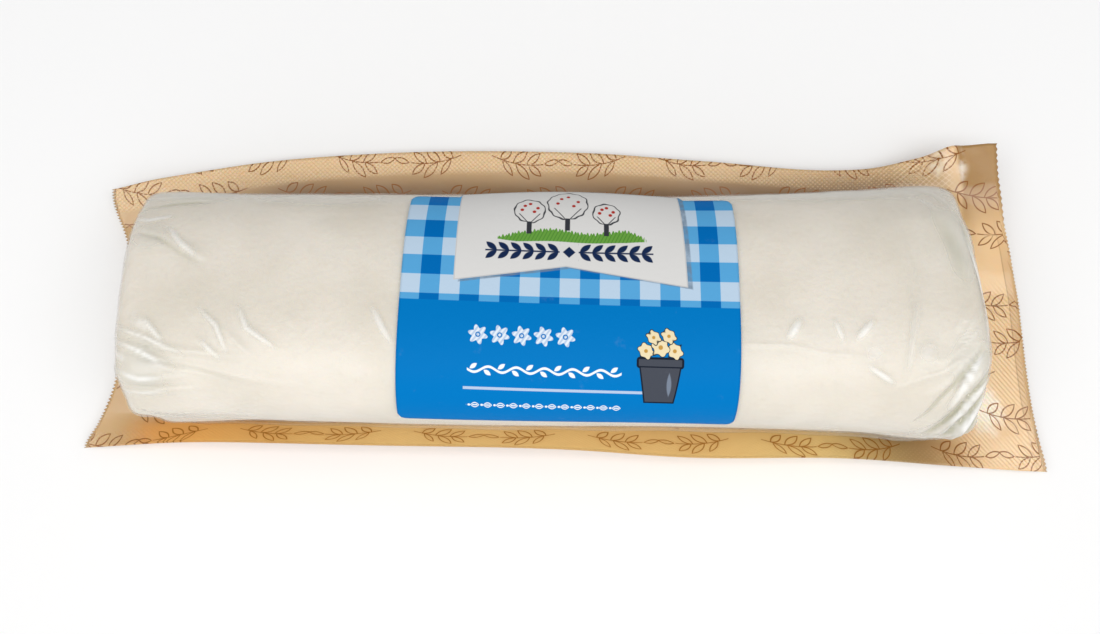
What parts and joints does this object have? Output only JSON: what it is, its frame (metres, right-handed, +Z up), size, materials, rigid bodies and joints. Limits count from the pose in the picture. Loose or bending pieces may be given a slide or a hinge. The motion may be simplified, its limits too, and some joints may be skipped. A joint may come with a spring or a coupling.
{
  "type": "vacuum-packed goat cheese log",
  "caption": "Log of fresh goat cheese shrunk into clear film on a printed backing film, with a blue gingham label over its top.",
  "frame": {"origin": "on the surface that the pack lies on, under the middle of the pack's bounding box", "axes": "+X along the log, to the right when the label is read from the front; +Y to the rear; +Z up"},
  "size_m": [0.2094, 0.0729, 0.0405],
  "materials": {
    "wrapped_cheese": "gloss",
    "printed_film": "satin",
    "label_film": "satin"
  },
  "bodies": {
    "root": {"wrapped_log": "wrapped_cheese", "backing_film": "printed_film", "label": "label_film"}
  },
  "joints": []
}
